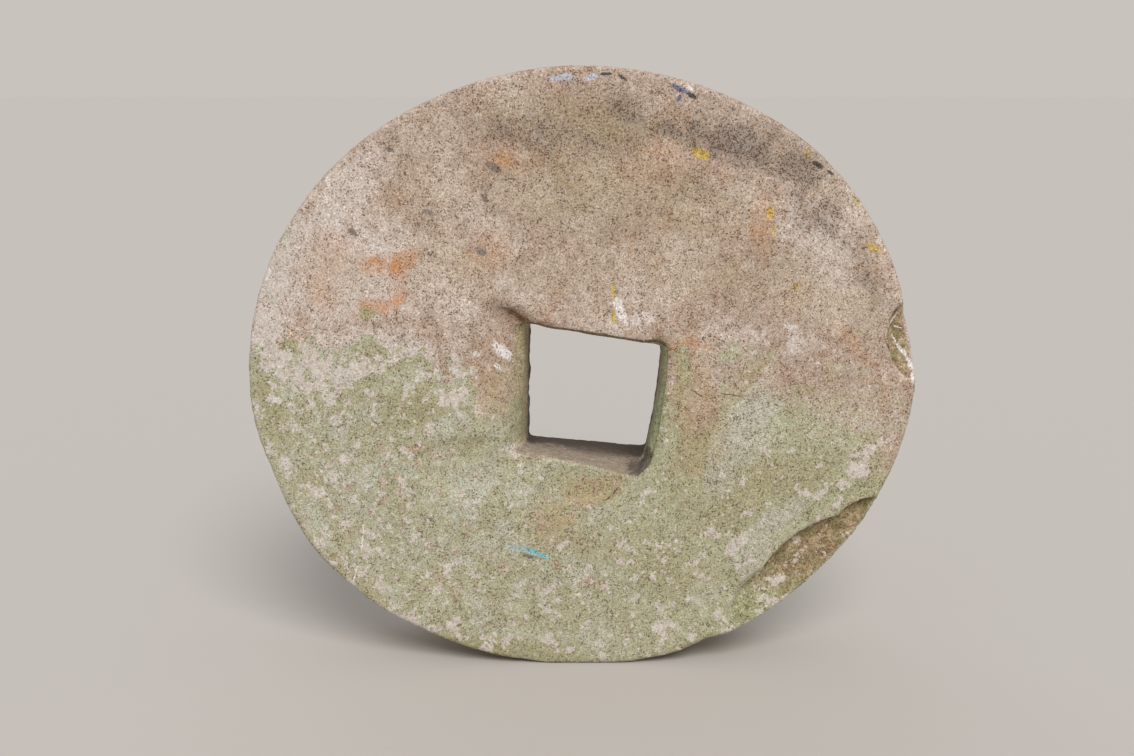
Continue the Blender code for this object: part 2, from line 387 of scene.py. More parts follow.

# Marks of paint, lime, pitch, cracks, a painted shadow line and grime: start, end, half width, colour
# name
MARKS = (
    ((-41.0, 162.0), (-35.5, 156.5), 3.2, "lime"),
    ((-41.5, 153.0), (-40.0, 150.5), 1.5, "lime"),
    ((15.8, 184.5), (20.2, 173.5), 2.8, "lime"),
    ((-37.0, 61.6), (-25.0, 60.4), 1.7, "turquoise wash"),
    ((-28.0, 60.4), (-21.5, 58.0), 1.9, "turquoise"),
    ((-21.0, 57.4), (-16.5, 55.6), 1.3, "turquoise"),
    ((-29.0, 57.0), (-23.0, 55.8), 1.1, "soot"),
    ((-106.5, 75.0), (-109.2, 55.0), 0.50, "lime"),
    ((-109.2, 55.0), (-116.0, 35.0), 0.42, "lime"),
    ((41.5, 283.6), (47.5, 280.8), 1.5, "blue"),
    ((45.0, 279.0), (44.0, 276.5), 1.0, "blue"),
    ((47.5, 283.6), (50.5, 281.6), 1.2, "lime"),
    ((-16.0, 286.6), (-3.0, 288.0), 2.0, "pale blue"),
    ((1.5, 286.8), (6.0, 288.0), 1.8, "pale blue"),
    ((8.0, 288.8), (13.0, 289.0), 0.9, "pitch"),
    ((17.0, 288.2), (20.0, 286.2), 1.0, "pitch"),
    ((49.0, 279.8), (52.0, 278.2), 1.3, "pitch"),
    ((107.5, 248.4), (111.5, 246.4), 1.50, "pitch"),
    ((114.5, 244.6), (117.0, 243.0), 0.90, "pitch"),
    # A painted shadow line along the scar's lower right edge
    ((18.4, 92.0), (15.0, 87.4), 0.50, "crack"),
    ((15.2, 87.6), (10.5, 84.0), 0.45, "crack"),
    ((52.0, 141.0), (59.0, 136.0), 0.42, "crack"),
    ((66.0, 138.5), (77.0, 137.0), 0.38, "crack"),
    ((-74.5, 75.6), (-73.2, 74.6), 1.0, "grime"),
    ((121.8, 104.2), (122.4, 103.8), 1.3, "grime"),
    ((63.0, 221.5), (63.5, 221.2), 0.7, "grime"),
    ((-44.5, 248.0), (-38.5, 244.5), 2.0, "grime"),
    ((-49.5, 208.0), (-46.5, 206.0), 2.0, "grime"),
    ((-109.5, 217.0), (-107.0, 215.5), 1.6, "grime"),
    ((-91.5, 255.0), (-88.5, 254.0), 1.2, "grime"),
    ((-73.5, 226.0), (-70.5, 224.0), 1.5, "grime"),
    ((-47.0, 233.0), (-45.0, 231.0), 1.4, "grime"),
    ((153.0, 180.0), (145.8, 169.5), 0.50, "lime"),
    ((149.5, 170.6), (155.0, 169.0), 0.50, "lime"),
    ((148.5, 167.0), (151.5, 162.5), 0.48, "lime"),
    ((151.5, 161.5), (157.0, 155.8), 1.30, "lime"),
    ((157.0, 155.8), (159.6, 149.0), 1.50, "lime"),
    ((159.6, 149.0), (158.8, 142.5), 1.00, "lime"),
    ((145.2, 163.4), (147.2, 159.8), 0.60, "crack"),
)

# Colours, as they are under plain light; a few also stand for painted shade, as their names say
COLOURS = {
    "tan": (0.440, 0.350, 0.283),
    "buff": (0.560, 0.474, 0.404),
    "umber": (0.240, 0.178, 0.135),
    "blush": (0.430, 0.300, 0.213),
    "red grain": (0.320, 0.165, 0.105),
    "lilac": (0.600, 0.530, 0.488),
    "ochre": (0.380, 0.302, 0.172),
    "sage": (0.372, 0.378, 0.240),
    "olive": (0.315, 0.315, 0.168),
    "leaf": (0.330, 0.376, 0.208),
    "mint": (0.420, 0.440, 0.340),
    "lichen": (0.560, 0.485, 0.425),
    "grey lichen": (0.600, 0.555, 0.515),
    "soot": (0.165, 0.143, 0.137),
    "iron": (0.520, 0.235, 0.085),
    "dirt": (0.115, 0.078, 0.050),
    # Painted shade for the back of the eye
    "painted deep shade": (0.060, 0.045, 0.033),
    "crease brown": (0.150, 0.078, 0.034),
    "yellow": (0.560, 0.400, 0.080),
    # Moss, and painted shade under the spall's edge and under the eye's top front edge
    "moss_and_shade": (0.120, 0.095, 0.035),
    "wall ochre": (0.560, 0.430, 0.270),
    "wall green": (0.430, 0.425, 0.230),
    "edge green": (0.275, 0.310, 0.135),
    "dust": (0.400, 0.320, 0.250),
    # Cobwebs, and painted shade in the eye's back corners
    "cobweb_and_shade": (0.110, 0.088, 0.075),
    "broken stone": (0.255, 0.185, 0.100),
    "pale break": (0.400, 0.300, 0.180),
    "olive break": (0.190, 0.168, 0.070),
    "lime": (0.720, 0.680, 0.665),
    "turquoise": (0.200, 0.500, 0.570),
    "turquoise wash": (0.330, 0.400, 0.390),
    "blue": (0.120, 0.140, 0.260),
    "pale blue": (0.460, 0.460, 0.530),
    "pitch": (0.045, 0.042, 0.044),
    # Cracks, and a painted shadow line along the scar's lower right edge
    "crack": (0.120, 0.090, 0.055),
    "grime": (0.200, 0.170, 0.150),
}

# How deep the grains and crusts seem, and how strongly they catch the light
BUMP_DEPTH = 0.35
BUMP_STRENGTH = 0.40

# How wide the grains are, and how they tint the stone, from the darkest at 0 to the palest at 1
GRAIN_WIDTH = 0.58
GRAIN_KINDS = (
    (0.00, (0.38, 0.30, 0.24)),
    (0.08, (0.60, 0.51, 0.43)),
    (0.19, (0.84, 0.79, 0.74)),
    (0.38, (0.96, 0.95, 0.94)),
    (0.64, (1.06, 1.07, 1.08)),
    (0.86, (1.16, 1.19, 1.21)),
    (1.00, (1.42, 1.46, 1.50)),
)

# The floor, and the soft light that stands over it
FLOOR_COLOUR = (0.551, 0.518, 0.487)
FLOOR_RADIUS = 60.0
HORIZON_COLOUR = (0.585, 0.545, 0.510)
OVERHEAD_COLOUR = (0.480, 0.485, 0.495)
KEY_FROM = (0.22, -1.0, 0.98)
KEY_STRENGTH = 2.20
KEY_SOFTNESS = 30.0
KEY_COLOUR = (1.0, 0.985, 0.965)
BACK_FROM = (-0.25, 1.0, 0.80)
BACK_STRENGTH = 0.30
BACK_SOFTNESS = 60.0


def camera():
    data = bpy.data.cameras.new("camera")
    data.sensor_width = SENSOR_WIDTH_MM
    data.lens = FOCAL_LENGTH_PX * SENSOR_WIDTH_MM / PHOTO_WIDTH_PX
    obj = bpy.data.objects.new("camera", data)
    obj.location = (CAMERA_RIGHT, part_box(NODE)[0].y - CAMERA_FROM_FACE, CAMERA_HEIGHT)
    obj.rotation_euler = (math.radians(90 - CAMERA_PITCH), 0, 0)
    bpy.context.scene.collection.objects.link(obj)
    bpy.context.scene.camera = obj


def smooth(value, low, high):
    """0 below low, 1 above high, and a soft step between them; low may be the greater."""
    share = np.clip((value - low) / (high - low), 0, 1)
    return share * share * (3 - 2 * share)


def roughness(points, size, seed, octaves=3):
    """Fractal noise from about -1 to 1 at each point, with features this many millimetres wide."""
    shift = Vector((seed * 3.7, seed * 5.3, seed * 7.1))
    width = size * MM
    return np.array([noise.fractal(Vector(p) / width + shift, 1.0, 2.1, octaves) for p in points])


def pits(points, size, seed):
    """Round dents this many millimetres apart: 1 in the middle of each and 0 between them."""
    shift = Vector((seed * 2.9, seed * 4.3, seed * 6.1))
    width = size * MM
    near = np.array([noise.voronoi(Vector(p) / width + shift)[0][0] for p in points])
    return smooth(near, 0.55, 0.0)


def wobble(points, size, seed):
    """A small noise vector in the face for each point, to ruffle an outline."""
    return np.column_stack([roughness(points, size, seed), roughness(points, size, seed + 50)])


def line_distance(face, line):
    """How far each place in the face lies from a line, and on which side of it (1 is right)."""
    nearest = np.full(len(face), 1e9)
    side = np.zeros(len(face))
    for start, end in zip(line, line[1:]):
        way = np.subtract(end, start)
        share = np.clip((face - start) @ way / (way @ way), 0, 1)
        gap = face - start - share[:, None] * way
        reach = np.hypot(gap[:, 0], gap[:, 1])
        turn = np.sign(gap[:, 0] * way[1] - gap[:, 1] * way[0])
        closer = reach < nearest
        nearest[closer] = reach[closer]
        side[closer] = turn[closer]
    return nearest, side


def spots(face, rows):
    """How far each place in the face is covered by soft elliptical spots."""
    cover = np.zeros(len(face))
    for right, up, half_length, half_width, tilt, strength in rows:
        cosine, sine = math.cos(math.radians(tilt)), math.sin(math.radians(tilt))
        across, above = (face - (right, up)).T
        along = (across * cosine + above * sine) / half_length
        beside = (above * cosine - across * sine) / half_width
        cover = np.maximum(cover, strength * smooth(np.hypot(along, beside), SPOT_END, SPOT_CORE))
    return cover


def even_mesh(source):
    """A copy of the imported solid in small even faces."""
    copy = bpy.data.objects.new("even_mesh", source.data.copy())
    bpy.context.scene.collection.objects.link(copy)
    remesh = copy.modifiers.new("even", "REMESH")
    remesh.mode = "VOXEL"
    remesh.voxel_size = MESH_STEP
    ready = copy.evaluated_get(bpy.context.evaluated_depsgraph_get())
    mesh = bpy.data.meshes.new_from_object(ready)
    bpy.data.objects.remove(copy)
    mesh.materials.clear()
    return mesh


def get_vectors(mesh, name):
    """The place ("co") or the normal ("normal") of each vertex."""
    values = np.zeros(len(mesh.vertices) * 3)
    mesh.vertices.foreach_get(name, values)
    return values.reshape(-1, 3)


def set_points(mesh, points):
    mesh.vertices.foreach_set("co", points.ravel())
    mesh.update()


def rim_gap(solid, points):
    """How far in from the solid's rim each point lies, in metres."""
    low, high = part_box(NODE)
    middle = (low + high) / 2
    angles = np.arange(RIM_READINGS) * 2 * math.pi / RIM_READINGS
    reach = []
    for angle in angles:
        way = Vector((math.cos(angle), 0, math.sin(angle)))
        hit = solid.ray_cast(middle + way * high.z * 2, -way)[0]
        reach.append((hit - middle).length)
    across = points[:, 0] - middle.x
    above = points[:, 2] - middle.z
    turn = np.arctan2(above, across) % (2 * math.pi)
    return np.interp(turn, angles, reach, period=2 * math.pi) - np.hypot(across, above)


class Lie:
    """Where each point lies, in millimetres, and its share of a face, the rim, a break or the eye."""

    def __init__(self, solid, points, normals):
        low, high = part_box(NODE)
        self.face = points[:, (0, 2)] / MM
        self.right, self.up = self.face.T
        self.ragged_face = self.face + 0.9 * wobble(points, 5, 11)
        self.from_rim = rim_gap(solid, points) / MM
        self.from_front = (points[:, 1] - low.y) / MM
        self.from_back = (high.y - points[:, 1]) / MM
        from_faces = np.minimum(self.from_front, self.from_back)
        from_eye = self.face - EYE_MIDDLE
        facing = normals[:, 1]

        self.near_eye = np.all(np.abs(from_eye) < EYE_HALF, axis=1) * 1.0
        self.eye_side = self.near_eye * smooth(np.abs(facing), 0.88, 0.50)
        self.eye = self.near_eye * smooth(from_faces, 1.5, 4.0)
        self.level = smooth(normals[:, 2], 0.35, 0.75)
        inset = np.minimum(from_faces, self.from_rim)
        self.broken = smooth(inset, 0.9, 1.8) * smooth(np.hypot(*from_eye.T), *NO_BREAK_WITHIN)
        whole = (1 - self.broken) * (1 - self.eye)
        self.front = smooth(-facing, 0.5, 0.9) * whole
        self.back = smooth(facing, 0.5, 0.9) * whole
        self.rim = smooth(self.from_rim, 2.5, 0.5) * smooth(np.abs(facing), 0.8, 0.4)
        self.ahead = smooth(self.from_front, 30, 12)
        self.hidden = 1 - self.ahead
        self.foot = smooth(self.up, 1.6, 0.2)


def relief(points, lie):
    """How far each point sinks into the stone, in millimetres."""
    depth = 0.20 * (1 + roughness(points, 45, 1, 2))
    depth += 0.05 * roughness(points, 9, 2)
    depth += 0.07 * roughness(points, 3.2, 3)

    # Tool marks on the rim and the back, and small pits in the front
    tooled = np.maximum(lie.rim, lie.back)
    depth += tooled * (0.28 * pits(points, 6, 4) + 0.12 * roughness(points, 5, 5))
    depth += lie.front * 0.07 * pits(points, 5, 6)

    # Rough breaks, with a groove under the sharp edge above the spall
    depth += lie.broken * 1.20 * (0.3 + roughness(points, 11, 7, 4))
    depth += lie.broken * 0.60 * roughness(points, 4, 8, 4)
    gap, _ = line_distance(lie.face, SPALL_ARRIS)
    depth += lie.broken * 1.4 * smooth(lie.up, 34, 54) * smooth(gap, 8.0, 2.5)

    # Streaks along the eye, its crumbled far end, and its worn front edges
    streaked = points * np.array((0.35, 1.0, 1.0))
    depth += lie.eye * 0.45 * roughness(streaked, 5, 9, 5)
    far_in = lie.near_eye * smooth(lie.from_back, 14, 1)
    depth += far_in * 0.9 * np.maximum(0, 0.3 + roughness(points, 7, 12, 4))
    lip = lie.near_eye * smooth(lie.from_front, 7, 1)
    depth += lip * 0.45 * np.maximum(0, roughness(points, 5, 13, 4))
    for line, wear, reach in EYE_WEAR:
        gap, _ = line_distance(lie.face, line)
        depth += wear * smooth(np.hypot(gap, 0.8 * lie.from_front), reach, 0)

    # Nicks along the front edge of the rim
    edge = smooth(np.minimum(lie.from_rim, lie.from_front), 3.0, 0.6)
    edge *= smooth(lie.from_front, 8, 3) * (1 - lie.eye)
    depth += edge * 0.30 * np.maximum(0, roughness(points, 4.5, 10, 4) + 0.1)

    for line, drop, reach in FLAKE_STEPS:
        gap, side = line_distance(lie.ragged_face, line)
        step = smooth(gap * side, -0.6, 0.9) * smooth(gap, reach, 0.2 * reach)
        depth += lie.front * drop * step
    return depth * (1 - lie.foot)


def add_coat(mesh, name, cover):
    layer = mesh.attributes.new(name, "FLOAT", "POINT")
    layer.data.foreach_set("value", np.clip(cover, 0, 1).astype(np.float32))


def scar_share(points, lie):
    """The ochre scar under the eye."""
    ragged = lie.face + 1.2 * wobble(points, 5, 11)
    gap, side = line_distance(ragged, SCAR_EDGE)
    share = smooth(gap * side, 0.4, -0.8) * smooth(gap, 15, 9)
    return share * smooth(lie.up, 101, 96) * smooth(lie.right, -13, -5)


def algae_cover(points, lie, ruffled):
    """Green below a line across the face, which is more uneven and more gradual farther back."""
    right, reach, fading = np.array(ALGAE_LINE).T
    height = np.interp(ruffled[:, 0], right, reach)
    fade = np.interp(ruffled[:, 0], right, fading)
    height += lie.hidden * (26 * roughness(points, 60, 28, 2) + 16 * roughness(points, 17, 29, 4))
    fade += lie.hidden * 40
    cover = (0.86 - 0.20 * lie.hidden) * smooth(ruffled[:, 1], height + 5, height - fade)
    less = 0.60 * lie.ahead * spots(ruffled, LESS_GREEN)
    more = 0.85 * lie.ahead * spots(ruffled, MORE_GREEN)
    cover = np.maximum(cover - less, more)
    return cover * (1 - 0.7 * lie.broken * smooth(lie.up, 20, 60))


def lichen_sprinkle(lie):
    """Small flecks all over the green part of the front, most at the left and along the foot."""
    green_part = smooth(lie.up, 175, 150)
    cover = 0.26 * green_part + 0.05 * smooth(lie.up, 60, 15)
    cover += 0.10 * smooth(lie.right, -50, -90) * green_part
    cover *= 1 - 0.30 * smooth(lie.right, 20, 60) * smooth(lie.up, 30, 90)
    return cover * (1 - lie.eye) * lie.ahead * (1 - spots(lie.face, LESS_LICHEN))


def face_coats(mesh, points, lie):
    """What grows on the stone, and what has soaked into it."""
    ahead, hidden = lie.ahead, lie.hidden
    ruffled = lie.face + 4.5 * wobble(points, 16, 21) + 2.0 * wobble(points, 6, 22)
    close = lie.face + 0.5 * wobble(points, 2.5, 27)
    low_down = smooth(lie.up, 170, 50)
    flake, side = line_distance(lie.ragged_face, MINT_FLAKE)
    on_flake = smooth(flake * side, 0.5, -1.5) * smooth(flake, 30, 6)
    beside_flake = 0.9 * smooth(flake * side, -0.3, 0.8) * smooth(flake, 15, 4)
    on_scar = scar_share(points, lie)

    algae = algae_cover(points, lie, ruffled)
    add_coat(mesh, "algae", algae * (1 - 0.30 * ahead * on_scar))
    add_coat(mesh, "film", smooth(lie.right, 0, 50))
    add_coat(mesh, "mint", ahead * np.maximum(spots(ruffled, MINT), on_flake))
    add_coat(mesh, "olive", np.maximum(ahead * spots(ruffled, OLIVE), 0.5 * hidden * low_down))

    cloud = smooth(roughness(points, 24, 24), -0.2, 0.5)
    elsewhere = hidden * (0.25 + 0.30 * low_down) * cloud
    placed = 0.9 * ahead * spots(ruffled, PALE_LICHEN)
    add_coat(mesh, "lichen", np.maximum(placed, lichen_sprinkle(lie)) + elsewhere)
    add_coat(mesh, "bleached", ahead * spots(ruffled, BLEACHED) + 0.5 * elsewhere)
    add_coat(mesh, "yellow", ahead * lie.front * spots(close, YELLOW_LICHEN))

    cloud = smooth(roughness(points, 20, 25), -0.3, 0.6)
    sooty = hidden * 0.5 * smooth(lie.up, 200, 280) * cloud
    rusty = hidden * 0.35 * smooth(roughness(points, 26, 26), 0.1, 0.6)
    bare = np.maximum(beside_flake, on_scar)
    add_coat(mesh, "soot", ahead * spots(ruffled, SOOT) + sooty)
    add_coat(mesh, "iron", ahead * spots(ruffled, IRON) + rusty)
    add_coat(mesh, "ochre", ahead * np.maximum(spots(ruffled, OCHRE), bare) + rusty)
    add_coat(mesh, "brown", ahead * spots(ruffled, BROWN_DIRT))
    add_coat(mesh, "crease", ahead * spots(close, CREASE_DIRT))


def eye_coats(mesh, normals, lie):
    """Dust, cobwebs and green in and round the eye, and painted shade deep in it and under its top
    edge.
    """
    near, from_front = lie.near_eye, lie.from_front
    add_coat(mesh, "eye_floor", lie.eye * lie.level)
    add_coat(mesh, "eye_wall", lie.eye_side * (1 - lie.level))
    # Painted shade: darker towards the back of the eye
    on_floor, on_wall = smooth(from_front, 12, 46), smooth(from_front, 22, 56)
    deep = np.where(lie.level > 0.5, on_floor, on_wall)
    add_coat(mesh, "deep", near * deep * (1 - lie.back))
    # Painted shade on the underside of the eye's top front edge, where it faces down
    facing_down = smooth(normals[:, 2], -0.25, -0.70)
    add_coat(mesh, "lip", near * facing_down * smooth(from_front, 8, 2))
    gap, _ = line_distance(lie.face, EYE_RIGHT_EDGE)
    add_coat(mesh, "green_edge", near * smooth(gap, 6.5, 2.5) * smooth(lie.up, 166, 158))
    # Cobwebs with painted shade in the pocket, and painted shade in the crevice at the back left
    # corner
    pocket = np.hypot(*((lie.face - POCKET) / POCKET_SIZE).T)
    pocket = smooth(pocket, 1.35, 0.35) * smooth(from_front, 0.2, 4) * smooth(from_front, 34, 16)
    crevice = smooth(lie.right, -20, -27) * smooth(lie.up, 112, 105)
    crevice *= smooth(from_front, 22, 36) * smooth(lie.from_back, 1, 8)
    add_coat(mesh, "cobweb_and_shade", near * np.maximum(pocket, crevice))


def break_coats(mesh, normals, lie):
    """Raw stone in the breaks, moss and painted shade under the spall's edge, and painted highlight
    on edges.
    """
    gap, _ = line_distance(lie.face, SPALL_ARRIS)
    add_coat(mesh, "broken", lie.broken)
    # Moss with painted shade in a band under the spall's sharp edge
    add_coat(mesh, "moss_and_shade_under_arris", lie.broken * smooth(lie.up, 30, 50) * smooth(gap, 10.0, 3.5))
    # Painted highlight on the rim's edges that face up, and along the face's edge above the spall
    painted_edge_highlight = smooth(lie.from_rim, 5.0, 1.0) * smooth(normals[:, 2], -0.2, 0.5)
    painted_edge_highlight = np.maximum(painted_edge_highlight, 0.7 * lie.front * smooth(gap, 3.5, 0.5))
    add_coat(mesh, "painted_edge_highlight", lie.ahead * painted_edge_highlight)


def carved_stone(source):
    """The stone that shows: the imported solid's form, with its relief and its coats."""
    mesh = even_mesh(source)
    solid = BVHTree.FromPolygons(
        [v.co for v in source.data.vertices], [p.vertices for p in source.data.polygons]
    )
    # The even faces cut corners, so each vertex goes back onto the solid
    seated = [solid.find_nearest(Vector(p))[0] for p in get_vectors(mesh, "co")]
    set_points(mesh, np.array(seated))
    points = get_vectors(mesh, "co")
    normals = get_vectors(mesh, "normal")
    lie = Lie(solid, points, normals)
    face_coats(mesh, points, lie)
    eye_coats(mesh, normals, lie)
    break_coats(mesh, normals, lie)
    carved = points - normals * (relief(points, lie) * MM)[:, None]
    low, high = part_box(NODE)
    set_points(mesh, np.clip(carved, low, high))
    mesh.shade_smooth()
    mesh.name = "carved_stone"
    obj = bpy.data.objects.new("carved_stone", mesh)
    bpy.context.scene.collection.objects.link(obj)
    return obj


class Net:
    """Short ways to add and join the nodes of one material."""

    def __init__(self, tree):
        self.tree = tree

    def node(self, kind, inputs=(), **settings):
        node = self.tree.nodes.new("ShaderNode" + kind)
        for name, value in settings.items():
            setattr(node, name, value)
        for name, value in dict(inputs).items():
            self.plug(node.inputs[name], value)
        return node

    def plug(self, socket, value):
        if isinstance(value, bpy.types.NodeSocket):
            self.tree.links.new(value, socket)
        elif socket.type == "RGBA":
            socket.default_value = (*value, 1.0)
        else:
            socket.default_value = value

    def math(self, operation, first, second=0.0):
        return self.node("Math", {0: first, 1: second}, operation=operation).outputs[0]

    def step(self, value, low, high, start=0.0, end=1.0):
        """start below low, end above high, and a soft step between."""
        inputs = {"Value": value, "From Min": low, "From Max": high, "To Min": start, "To Max": end}
        return self.node("MapRange", inputs, interpolation_type="SMOOTHSTEP").outputs[0]

    def mix(self, share, under, over, way="MIX"):
        inputs = {0: share, 6: under, 7: over}
        return self.node("Mix", inputs, data_type="RGBA", blend_type=way).outputs[2]

    def coat(self, name):
        return self.node("Attribute", attribute_name=name).outputs["Fac"]

    def noise(self, place, size, detail=3.0, roughness=0.55):
        inputs = {"Vector": place, "Scale": 1 / size, "Detail": detail, "Roughness": roughness}
        return self.node("TexNoise", inputs).outputs["Fac"]

    def total(self, *shares):
        """The sum of values, each times its own weight."""
        value = 0.0
        for weight, socket in shares:
            value = self.math("ADD", self.math("MULTIPLY", socket, weight), value)
        return value

    def cells(self, place, size):
        return self.node("TexVoronoi", {"Vector": place, "Scale": 1 / size})

    def chance(self, cells):
        """Three numbers from 0 to 1 that are the same all over each cell."""
        return self.node("SeparateColor", {"Color": cells.outputs["Color"]}).outputs

    def patches(self, cover, pattern, softness):
        """Breaks a coat up: none where the cover is 0, all where it is 1, high places first."""
        fall = self.math("MULTIPLY", cover, 1 + 2 * softness)
        low = self.math("SUBTRACT", 1.0, fall)
        high = self.math("ADD", low, 2 * softness)
        return self.step(pattern, low, high)


def ruffle(net, place, size, amount):
    """The place, shaken by noise, so that cells lose their straight sides."""
    shake = net.node("TexNoise", {"Vector": place, "Scale": 1 / size, "Detail": 2.0}).outputs["Color"]
    centred = net.node("VectorMath", {0: shake, 1: (0.5, 0.5, 0.5)}, operation="SUBTRACT")
    scaled = net.node("VectorMath", {0: centred.outputs[0], "Scale": amount}, operation="SCALE")
    return net.node("VectorMath", {0: place, 1: scaled.outputs[0]}, operation="ADD").outputs[0]


def stroke(net, place, start, end, half_width):
    """1 on a long oval stroke of the front face from start to end, and 0 off it."""
    across, up = end[0] - start[0], end[1] - start[1]
    half_length = math.hypot(across, up) / 2 + half_width
    inputs = {
        "Vector": place,
        "Location": ((start[0] + end[0]) / 2 * MM, 0, (start[1] + end[1]) / 2 * MM),
        "Rotation": (0, -math.atan2(up, across), 0),
        "Scale": (half_length * MM, 1.0, half_width * MM),
    }
    own_place = net.node("Mapping", inputs, vector_type="TEXTURE").outputs[0]
    reach = net.node("VectorMath", {0: own_place}, operation="LENGTH").outputs["Value"]
    return net.step(reach, STROKE_END, STROKE_CORE)


def marks(net, tone, colour):
    """Lays the strokes on the front face, each kind in its own colour."""
    near = ruffle(net, tone.place, 1.6 * MM, 1.3 * MM)
    along_y = net.node("SeparateXYZ", {0: tone.place}).outputs[1]
    on_front = net.step(along_y, STROKE_GONE_Y * MM, STROKE_WHOLE_Y * MM)
    ragged = net.total((0.35, tone.fine), (0.25, tone.medium), (0.4, tone.chance[2]))
    for name in sorted({row[3] for row in MARKS}):
        cover = 0.0
        for start, end, half_width, kind in MARKS:
            if kind == name:
                cover = net.math("MAXIMUM", stroke(net, near, start, end, half_width), cover)
        cover = net.patches(net.math("MULTIPLY", cover, on_front), ragged, 0.40)
        colour = net.mix(net.math("MULTIPLY", cover, 0.90), colour, COLOURS[name])
    return colour


def grain_ramp(net, chance):
    """What each grain does to the colour of the stone round it."""
    node = net.node("ValToRGB", {"Fac": chance})
    stops = node.color_ramp.elements
    for place, _ in GRAIN_KINDS[1:-1]:
        stops.new(place)
    for stop, (place, tint) in zip(stops, GRAIN_KINDS):
        stop.position = place
        stop.color = (*tint, 1.0)
    return node.outputs["Color"]


def spread(net, value, low=0.34, high=0.66):
    """Noise keeps near its middle: this spreads it from 0 to 1."""
    return net.node("MapRange", {"Value": value, "From Min": low, "From Max": high}).outputs[0]


class Patterns:
    """The noises that the coats and the grains share, each from 0 to 1."""

    def __init__(self, net, place):
        self.place = place
        self.broad = spread(net, net.noise(place, 34 * MM, 7.0, 0.62))
        self.rusty = spread(net, net.noise(ruffle(net, place, 9 * MM, 40 * MM), 27 * MM, 7.0, 0.62))
        self.cloud = spread(net, net.noise(place, 12 * MM, 6.0, 0.65))
        self.blotch = spread(net, net.noise(place, 7 * MM, 5.0, 0.65))
        self.medium = spread(net, net.noise(place, 4.2 * MM, 5.0, 0.70))
        self.fine = spread(net, net.noise(place, 1.9 * MM, 3.0, 0.65))
        self.sand = spread(net, net.noise(place, 0.8 * MM, 2.0, 0.6))
        self.grains = net.cells(ruffle(net, place, 0.8 * MM, 0.14 * MM), GRAIN_WIDTH * MM)
        self.chance = net.chance(self.grains)
        self.soft = net.total((0.35, self.cloud), (0.40, self.medium), (0.25, self.fine))
        self.lobed = self.lobes(net, place, 1.4 * MM, 5.4 * MM, 2.0)
        self.ragged = self.lobes(net, place, 1.1 * MM, 6.0 * MM, 3.0)

    def lobes(self, net, place, lobe, patch, detail):
        """Noise that is the same over each small round lobe, for crusts that grow in rosettes."""
        small = net.cells(ruffle(net, place, lobe, 0.5 * lobe), lobe)
        middle = small.outputs["Position"]
        value = spread(net, net.noise(middle, patch, detail, 0.6), 0.32, 0.68)
        return net.total((1.0, value), (-0.22, small.outputs["Distance"]), (0.10, self.fine))


def soaked(net, tone, name, strength):
    """How strongly a stain with soft edges shows."""
    cloudy = net.step(tone.soft, 0.28, 0.72, 0.45 * strength, strength)
    return net.math("MULTIPLY", net.coat(name), cloudy)


def bare_stone(net, tone):
    """Tan sandstone with paler, browner and rustier clouds, and what has soaked into it."""
    colour = net.mix(net.step(tone.broad, 0.20, 0.95), COLOURS["tan"], COLOURS["buff"])
    colour = net.mix(net.step(tone.rusty, 0.45, 1.0, 0.0, 0.60), colour, COLOURS["blush"])
    colour = net.mix(net.step(tone.medium, 0.55, 0.0, 0.0, 0.20), colour, COLOURS["umber"])
    colour = net.mix(net.step(tone.blotch, 0.40, 0.0, 0.0, 0.16), colour, COLOURS["umber"])
    some_grains = net.step(tone.chance[2], 0.14, 0.10)
    red = net.math("MULTIPLY", some_grains, net.step(tone.rusty, 0.15, 0.85, 0.25, 0.75))
    colour = net.mix(red, colour, COLOURS["red grain"])
    bleached = net.patches(net.coat("bleached"), tone.soft, 0.45)
    colour = net.mix(net.math("MULTIPLY", bleached, 0.76), colour, COLOURS["lilac"])
    colour = net.mix(soaked(net, tone, "iron", 1.0), colour, COLOURS["iron"])
    colour = net.mix(soaked(net, tone, "brown", 0.85), colour, COLOURS["dirt"])
    colour = net.mix(soaked(net, tone, "crease", 1.0), colour, COLOURS["crease brown"])
    gritty = net.step(net.total((0.5, tone.medium), (0.5, tone.fine)), 0.35, 0.68)
    raw = net.mix(gritty, COLOURS["broken stone"], COLOURS["pale break"])
    raw = net.mix(net.step(tone.blotch, 0.50, 0.15, 0.0, 0.7), raw, COLOURS["olive break"])
    return net.mix(net.math("MULTIPLY", net.coat("broken"), 0.94), colour, raw)


def inside_eye(net, tone, colour):
    """Dusty floor with fine fibres across it, and walls with green and brown streaks."""
    lengthwise = net.node("Mapping", {"Vector": tone.place, "Scale": (1, 1, 0.2)}).outputs[0]
    streaks = spread(net, net.noise(lengthwise, 2.2 * MM, 4.0))
    wall = net.mix(net.step(streaks, 0.15, 0.85), COLOURS["wall ochre"], COLOURS["wall green"])
    colour = net.mix(net.math("MULTIPLY", net.coat("eye_wall"), 0.72), colour, wall)
    edge = net.mix(net.step(streaks, 0.0, 0.8), COLOURS["edge green"], COLOURS["sage"])
    colour = net.mix(net.math("MULTIPLY", net.coat("green_edge"), 0.80), colour, edge)
    # Painted shade under the eye's top front edge
    lip = net.patches(net.coat("lip"), tone.soft, 0.35)
    colour = net.mix(net.math("MULTIPLY", lip, 0.75), colour, COLOURS["moss_and_shade"])
    bent = ruffle(net, tone.place, 14 * MM, 7 * MM)
    across = net.node("Mapping", {"Vector": bent, "Scale": (0.09, 1, 1)}).outputs[0]
    fibres = spread(net, net.noise(across, 1.3 * MM, 4.0, 0.7), 0.40, 0.62)
    dust = net.mix(net.step(fibres, 0.0, 1.0, 0.0, 0.80), COLOURS["dust"], COLOURS["umber"])
    dust = net.mix(net.step(tone.medium, 0.6, 1.0, 0.0, 0.5), dust, COLOURS["lilac"])
    dusty = net.patches(net.coat("eye_floor"), tone.soft, 0.3)
    return net.mix(net.math("MULTIPLY", dusty, 0.90), colour, dust)


